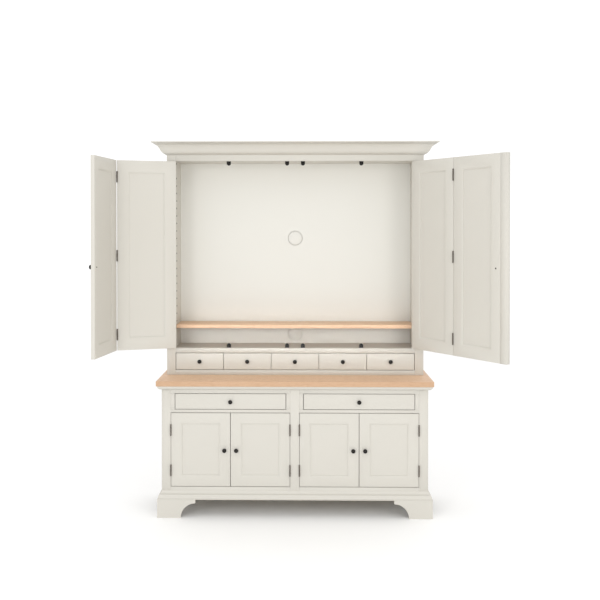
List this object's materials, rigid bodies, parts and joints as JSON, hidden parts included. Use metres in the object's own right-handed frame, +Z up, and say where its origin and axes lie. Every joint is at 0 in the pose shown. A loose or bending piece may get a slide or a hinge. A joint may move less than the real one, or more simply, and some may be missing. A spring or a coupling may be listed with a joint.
{
  "type": "armoire",
  "caption": "Tall painted media armoire: cupboard and drawer base with oak top, upper cabinet with small drawers and an oak shelf behind folding door pairs.",
  "frame": {"origin": "on the floor, at the centre of the width, in the plane of the wall behind the cabinet", "axes": "+Z up, +Y towards the wall, so the front looks along -Y and the object's right side, seen from the front, is +X"},
  "size_m": [2.2766, 0.8748, 2.2],
  "materials": {
    "painted_wood": "warm off-white satin paint over wood",
    "painted_panel": "warm off-white satin paint on a flat board",
    "oak": "clear matt lacquer on light oak",
    "bare_wood": "unfinished softwood",
    "dark_metal": "satin black-brown",
    "pin_steel": "plain steel"
  },
  "bodies": {
    "root": {"base_back": "painted_wood", "base_bottom": "painted_wood", "base_face_frame": "painted_wood", "base_partition": "painted_wood", "base_shelves": "painted_wood", "base_side_left": "painted_wood", "base_side_right": "painted_wood", "base_stretchers": "bare_wood", "bracket_feet": "painted_wood", "cable_covers": "painted_wood", "ceiling_board": "painted_wood", "cornice": "painted_wood", "fixed_hinge_halves": "dark_metal", "magnetic_catches": "dark_metal", "oak_shelf": "oak", "plinth_moulding": "painted_wood", "rear_plinth_rail": "bare_wood", "shelf_pins": "pin_steel", "small_drawer_dividers": "painted_wood", "top_board": "painted_wood", "upper_back": "painted_panel", "upper_decks": "painted_wood", "upper_face_frame": "painted_wood", "upper_side_left": "painted_wood", "upper_side_right": "painted_wood", "wide_drawer_runners": "bare_wood", "worktop": "oak", "worktop_moulding": "painted_wood"},
    "left_hung_leaf": {"left_hung_leaf": "painted_wood", "left_hung_leaf_hinges": "dark_metal"},
    "left_folding_leaf": {"left_folding_leaf": "painted_wood", "left_folding_leaf_hardware": "dark_metal"},
    "right_hung_leaf": {"right_hung_leaf": "painted_wood", "right_hung_leaf_hinges": "dark_metal"},
    "right_folding_leaf": {"right_folding_leaf": "painted_wood", "right_folding_leaf_hardware": "dark_metal", "meeting_strip": "painted_wood"},
    "left_outer_door": {"left_outer_door": "painted_wood", "left_outer_door_hardware": "dark_metal"},
    "left_inner_door": {"left_inner_door": "painted_wood", "left_inner_door_hardware": "dark_metal"},
    "wide_drawer_left": {"wide_drawer_left": "painted_wood", "wide_drawer_left_knob": "dark_metal"},
    "right_outer_door": {"right_outer_door": "painted_wood", "right_outer_door_hardware": "dark_metal"},
    "right_inner_door": {"right_inner_door": "painted_wood", "right_inner_door_hardware": "dark_metal"},
    "wide_drawer_right": {"wide_drawer_right": "painted_wood", "wide_drawer_right_knob": "dark_metal"},
    "small_drawer_1": {"small_drawer_1": "painted_wood", "small_drawer_1_knob": "dark_metal"},
    "small_drawer_2": {"small_drawer_2": "painted_wood", "small_drawer_2_knob": "dark_metal"},
    "small_drawer_3": {"small_drawer_3": "painted_wood", "small_drawer_3_knob": "dark_metal"},
    "small_drawer_4": {"small_drawer_4": "painted_wood", "small_drawer_4_knob": "dark_metal"},
    "small_drawer_5": {"small_drawer_5": "painted_wood", "small_drawer_5_knob": "dark_metal"}
  },
  "joints": [
    {"name": "left_hung_leaf_hinge", "type": "hinge", "parent": "root", "child": "left_hung_leaf", "pos_m": [-0.7215, -0.249, 1.52], "axis": [0, 0, -1], "range_deg": [-162, 12]},
    {"name": "left_leaf_fold", "type": "hinge", "parent": "left_hung_leaf", "child": "left_folding_leaf", "pos_m": [-1.0451, -0.38569, 1.52], "axis": [0, 0, 1], "range_deg": [-64.51, 4.79]},
    {"name": "right_hung_leaf_hinge", "type": "hinge", "parent": "root", "child": "right_hung_leaf", "pos_m": [0.7215, -0.249, 1.52], "axis": [0, 0, 1], "range_deg": [-124.5, 49.5]},
    {"name": "right_leaf_fold", "type": "hinge", "parent": "right_hung_leaf", "child": "right_folding_leaf", "pos_m": [0.89502, -0.55444, 1.52], "axis": [0, 0, -1], "range_deg": [0, 150]},
    {"name": "left_outer_door_hinge", "type": "hinge", "parent": "root", "child": "left_outer_door", "pos_m": [-0.7215, -0.446, 0.389], "axis": [0, 0, -1], "range_deg": [0, 165]},
    {"name": "left_inner_door_hinge", "type": "hinge", "parent": "root", "child": "left_inner_door", "pos_m": [-0.0275, -0.446, 0.389], "axis": [0, 0, 1], "range_deg": [0, 88]},
    {"name": "right_outer_door_hinge", "type": "hinge", "parent": "root", "child": "right_outer_door", "pos_m": [0.7215, -0.446, 0.389], "axis": [0, 0, 1], "range_deg": [0, 165]},
    {"name": "right_inner_door_hinge", "type": "hinge", "parent": "root", "child": "right_inner_door", "pos_m": [0.0275, -0.446, 0.389], "axis": [0, 0, -1], "range_deg": [0, 88]},
    {"name": "wide_drawer_left_slide", "type": "slide", "parent": "root", "child": "wide_drawer_left", "axis": [0, -1, 0], "range_m": [0, 0.3]},
    {"name": "wide_drawer_right_slide", "type": "slide", "parent": "root", "child": "wide_drawer_right", "axis": [0, -1, 0], "range_m": [0, 0.3]},
    {"name": "small_drawer_1_slide", "type": "slide", "parent": "root", "child": "small_drawer_1", "axis": [0, -1, 0], "range_m": [0, 0.15]},
    {"name": "small_drawer_2_slide", "type": "slide", "parent": "root", "child": "small_drawer_2", "axis": [0, -1, 0], "range_m": [0, 0.15]},
    {"name": "small_drawer_3_slide", "type": "slide", "parent": "root", "child": "small_drawer_3", "axis": [0, -1, 0], "range_m": [0, 0.15]},
    {"name": "small_drawer_4_slide", "type": "slide", "parent": "root", "child": "small_drawer_4", "axis": [0, -1, 0], "range_m": [0, 0.15]},
    {"name": "small_drawer_5_slide", "type": "slide", "parent": "root", "child": "small_drawer_5", "axis": [0, -1, 0], "range_m": [0, 0.15]}
  ],
  "couplings": [
    {"joint": "left_leaf_fold", "follows": "left_hung_leaf_hinge", "ratio": 0.39815}
  ]
}
